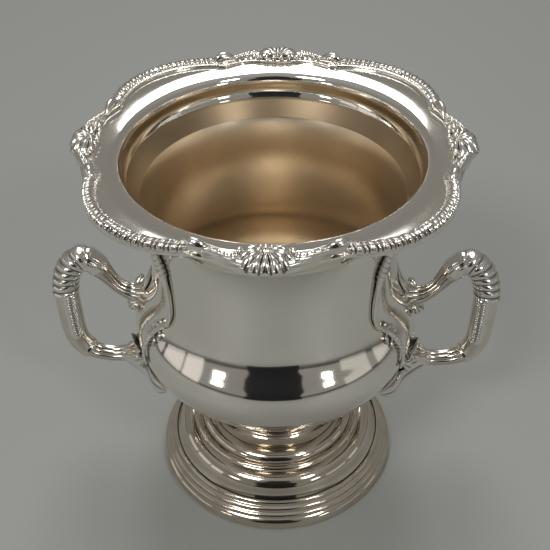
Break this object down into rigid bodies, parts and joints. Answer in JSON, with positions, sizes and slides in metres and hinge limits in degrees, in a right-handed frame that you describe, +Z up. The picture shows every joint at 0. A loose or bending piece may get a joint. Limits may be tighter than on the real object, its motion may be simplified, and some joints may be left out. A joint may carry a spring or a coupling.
{
  "type": "champagne bucket",
  "caption": "Footed two-handled champagne bucket in silver plate: urn-shaped body, lobed gadroon rim with shell mounts, leaf-capped handles and a stepped round foot.",
  "frame": {"origin": "centre of the foot on the surface it stands on", "axes": "+Z up, handles along +X and -X, front and back rim shells along -Y and +Y"},
  "size_m": [0.2994, 0.2376, 0.2683],
  "materials": {
    "polished_plate": "polished silver plate, lightly worn, warm tarnish inside",
    "cast_ornament": "silver-plated cast ornament, bright on the high places and dark in the recesses",
    "handle_plate": "polished silver plate on cast handles",
    "foot_plate": "polished silver plate, slightly warmer where it is worn"
  },
  "bodies": {
    "root": {"body_shell": "polished_plate", "rim_flange": "polished_plate", "gadroon_border_front_right": "cast_ornament", "gadroon_border_back_right": "cast_ornament", "gadroon_border_back_left": "cast_ornament", "gadroon_border_front_left": "cast_ornament", "shell_mount_right": "cast_ornament", "shell_mount_back": "cast_ornament", "shell_mount_left": "cast_ornament", "shell_mount_front": "cast_ornament", "handle_upper_arm_right": "handle_plate", "handle_grip_right": "handle_plate", "handle_leaf_right": "cast_ornament", "handle_lower_arm_right": "handle_plate", "upper_mount_right": "cast_ornament", "lower_mount_right": "cast_ornament", "strap_right_front": "cast_ornament", "strap_right_back": "cast_ornament", "handle_upper_arm_left": "handle_plate", "handle_grip_left": "handle_plate", "handle_leaf_left": "cast_ornament", "handle_lower_arm_left": "handle_plate", "upper_mount_left": "cast_ornament", "lower_mount_left": "cast_ornament", "strap_left_front": "cast_ornament", "strap_left_back": "cast_ornament", "foot_collar": "foot_plate", "foot_spool": "foot_plate", "foot_dome": "foot_plate", "foot_base_ring": "foot_plate"}
  },
  "joints": []
}
